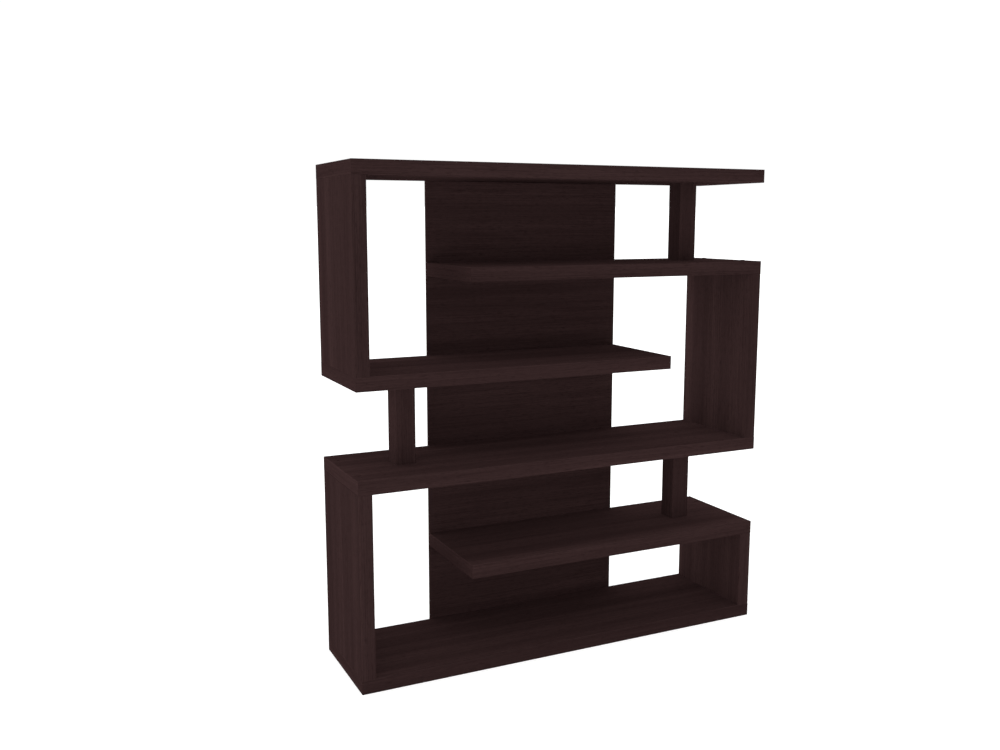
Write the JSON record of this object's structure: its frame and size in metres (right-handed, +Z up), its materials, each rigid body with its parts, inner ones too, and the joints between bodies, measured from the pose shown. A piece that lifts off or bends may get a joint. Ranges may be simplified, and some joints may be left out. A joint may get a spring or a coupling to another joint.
{
  "type": "zigzag bookshelf",
  "caption": "Open free-standing bookshelf in dark wenge finish: horizontal boards joined by side panels and square posts that switch sides in a zigzag, with a narrow back panel.",
  "frame": {"origin": "on the floor, below the middle of the bookshelf's overall width and depth", "axes": "+Z up, +X to the right seen from the front, +Y to the back, so the open front faces -Y"},
  "size_m": [1, 0.256, 1.0918],
  "materials": {
    "wenge_board": "satin melamine with a dark wenge grain along the board",
    "wenge_post": "satin foil with a dark wenge grain along the post",
    "wenge_back": "satin melamine with a dark wenge grain across the panel",
    "wenge_edge_band": "satin plastic edge band printed with the boards' grain",
    "beech": "bare beech",
    "zinc_steel": "bright zinc-plated steel",
    "brown_cap": "dark brown moulded plastic"
  },
  "bodies": {
    "root": {"back_panel": "wenge_back", "back_panel_screws": "zinc_steel", "bottom_board": "wenge_board", "bottom_board_back_band": "wenge_edge_band", "bottom_board_front_band": "wenge_edge_band", "bottom_board_left_band": "wenge_edge_band", "bottom_board_right_band": "wenge_edge_band", "connecting_screws": "zinc_steel", "lower_left_side_panel": "wenge_board", "lower_left_side_panel_back_band": "wenge_edge_band", "lower_left_side_panel_front_band": "wenge_edge_band", "lower_right_post": "wenge_post", "lower_right_shelf": "wenge_board", "lower_right_shelf_back_band": "wenge_edge_band", "lower_right_shelf_front_band": "wenge_edge_band", "lower_right_shelf_left_band": "wenge_edge_band", "lower_right_shelf_right_band": "wenge_edge_band", "lower_right_side_panel": "wenge_board", "lower_right_side_panel_back_band": "wenge_edge_band", "lower_right_side_panel_front_band": "wenge_edge_band", "middle_left_post": "wenge_post", "middle_right_side_panel": "wenge_board", "middle_right_side_panel_back_band": "wenge_edge_band", "middle_right_side_panel_front_band": "wenge_edge_band", "middle_shelf": "wenge_board", "middle_shelf_back_band": "wenge_edge_band", "middle_shelf_front_band": "wenge_edge_band", "middle_shelf_left_band": "wenge_edge_band", "middle_shelf_right_band": "wenge_edge_band", "screw_cover_caps": "brown_cap", "top_board": "wenge_board", "top_board_back_band": "wenge_edge_band", "top_board_front_band": "wenge_edge_band", "top_board_left_band": "wenge_edge_band", "top_board_right_band": "wenge_edge_band", "upper_left_shelf": "wenge_board", "upper_left_shelf_back_band": "wenge_edge_band", "upper_left_shelf_front_band": "wenge_edge_band", "upper_left_shelf_left_band": "wenge_edge_band", "upper_left_shelf_right_band": "wenge_edge_band", "upper_left_side_panel": "wenge_board", "upper_left_side_panel_back_band": "wenge_edge_band", "upper_left_side_panel_front_band": "wenge_edge_band", "upper_right_post": "wenge_post", "upper_right_shelf": "wenge_board", "upper_right_shelf_back_band": "wenge_edge_band", "upper_right_shelf_front_band": "wenge_edge_band", "upper_right_shelf_left_band": "wenge_edge_band", "upper_right_shelf_right_band": "wenge_edge_band", "wooden_dowels": "beech"}
  },
  "joints": []
}
